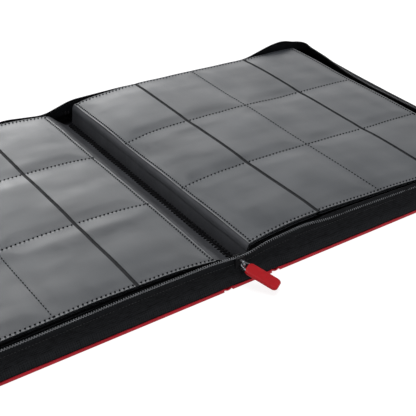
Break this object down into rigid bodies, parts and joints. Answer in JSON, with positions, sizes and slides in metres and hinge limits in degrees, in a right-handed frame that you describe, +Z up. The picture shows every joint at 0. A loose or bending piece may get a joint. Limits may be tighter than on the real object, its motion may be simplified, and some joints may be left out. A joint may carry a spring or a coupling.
{
  "type": "trading card binder",
  "caption": "Zip-around card binder lying open: boarded covers, soft gusset with coil zip, slider with hanging pull, sewn block of pocket leaves.",
  "frame": {"origin": "middle of the spine's underside, on the surface that the binder lies on", "axes": "+X across to the right cover, +Y along the spine to the far end, +Z up"},
  "size_m": [0.622, 0.3395, 0.0258],
  "materials": {
    "red_skin": "grained",
    "board": "matt",
    "lining": "woven",
    "gusset_cloth": "woven",
    "zip_tape": "herringbone",
    "zip_coil": "satin",
    "leaf_sheet": "satin",
    "leaf_margin": "satin",
    "clear_film": "frosted",
    "thread": "twisted",
    "stop_metal": "black",
    "slider_metal": "black",
    "link_wire": "dark",
    "pull_rubber": "matt"
  },
  "bodies": {
    "spine": {"spine_skin": "red_skin", "spine_board": "board", "spine_lining": "lining", "hinge_strip_left": "red_skin", "hinge_strip_right": "red_skin", "gusset_fold_left": "gusset_cloth", "gusset_fold_right": "gusset_cloth", "zip_end_left": "zip_coil", "zip_end_right": "zip_coil", "leaf_roots_left": "leaf_margin", "leaf_roots_right": "leaf_margin", "spine_zigzag_thread": "thread", "zip_bottom_stop": "stop_metal", "zip_top_stops": "stop_metal"},
    "left_cover": {"cover_skin_left": "red_skin", "cover_board_left": "board", "cover_lining_left": "lining", "gusset_left": "gusset_cloth", "zip_tape_left": "zip_tape", "zip_chain_left": "zip_coil", "leaf_left_01": "leaf_sheet", "leaf_left_02": "leaf_sheet", "leaf_left_03": "leaf_sheet", "leaf_left_04": "leaf_sheet", "leaf_left_05": "leaf_sheet", "leaf_left_06": "leaf_sheet", "leaf_left_07": "leaf_sheet", "leaf_left_08": "leaf_sheet", "leaf_left_09": "leaf_sheet", "leaf_left_10": "leaf_sheet", "film_panels_left": "clear_film"},
    "right_cover": {"cover_skin_right": "red_skin", "cover_board_right": "board", "cover_lining_right": "lining", "gusset_right_sides": "gusset_cloth", "gusset_right_corners": "gusset_cloth", "zip_tape_right_sides": "zip_tape", "zip_tape_right_corners": "zip_tape", "zip_chain_right_sides": "zip_coil", "zip_chain_right_corners": "zip_coil"},
    "right_outer_wall": {"gusset_right_outer": "gusset_cloth", "zip_tape_right_outer": "zip_tape", "zip_chain_right_outer": "zip_coil"},
    "right_leaves": {"leaf_right_01": "leaf_sheet", "leaf_right_02": "leaf_sheet", "leaf_right_03": "leaf_sheet", "leaf_right_04": "leaf_sheet", "leaf_right_05": "leaf_sheet", "leaf_right_06": "leaf_sheet", "leaf_right_07": "leaf_sheet", "leaf_right_08": "leaf_sheet", "leaf_right_09": "leaf_sheet", "leaf_root_top_right": "leaf_margin"},
    "turning_leaf": {"leaf_right_10": "leaf_sheet", "film_panels_right": "clear_film"},
    "zip_slider": {"slider_body": "slider_metal", "slider_bail": "slider_metal"},
    "pull_link": {"pull_link": "link_wire"},
    "pull_tab": {"pull_tab": "pull_rubber"}
  },
  "joints": [
    {"name": "left_cover_fold", "type": "hinge", "parent": "spine", "child": "left_cover", "pos_m": [-0.0228, 0, 0.002], "axis": [0, 1, 0], "range_deg": [0, 90], "deforming": ["hinge_strip_left", "gusset_fold_left", "zip_end_left", "leaf_roots_left"]},
    {"name": "right_cover_fold", "type": "hinge", "parent": "spine", "child": "right_cover", "pos_m": [0.0228, 0, 0.002], "axis": [0, -1, 0], "range_deg": [0, 90], "deforming": ["hinge_strip_right", "gusset_fold_right", "zip_end_right", "zip_top_stops"]},
    {"name": "right_leaves_follow", "type": "hinge", "parent": "spine", "child": "right_leaves", "pos_m": [0.01235, 0, 0.01385], "axis": [0, -1, 0], "range_deg": [0, 90], "deforming": ["leaf_roots_right"]},
    {"name": "right_wall_lean", "type": "hinge", "parent": "right_cover", "child": "right_outer_wall", "pos_m": [0.309, 0, 0.003], "axis": [0, 1, 0], "range_deg": [0, 31.5], "deforming": ["gusset_right_corners", "zip_tape_right_corners", "zip_chain_right_corners"]},
    {"name": "top_leaf_turn", "type": "hinge", "parent": "right_leaves", "child": "turning_leaf", "pos_m": [-0.0052, 0, 0.0277], "axis": [0, 1, 0], "range_deg": [-180, 0], "deforming": ["leaf_root_top_right"]},
    {"name": "slider_travel", "type": "slide", "parent": "spine", "child": "zip_slider", "axis": [0.0318, 0, 0.9995], "range_m": [0, 0.2361]},
    {"name": "pull_link_swing", "type": "hinge", "parent": "zip_slider", "child": "pull_link", "pos_m": [-0.0075, -0.1546, 0.0172], "axis": [-0.848, -0.5299, 0], "range_deg": [0, 95]},
    {"name": "pull_tab_swing", "type": "hinge", "parent": "pull_link", "child": "pull_tab", "pos_m": [-0.00301, -0.16178, 0.01289], "axis": [-0.848, -0.5299, 0], "range_deg": [0, 40]}
  ],
  "couplings": [
    {"joint": "right_leaves_follow", "follows": "right_cover_fold", "ratio": 1},
    {"joint": "right_wall_lean", "follows": "right_cover_fold", "ratio": 0.35},
    {"joint": "slider_travel", "follows": "right_cover_fold", "m_per_rad": 0.1503}
  ]
}
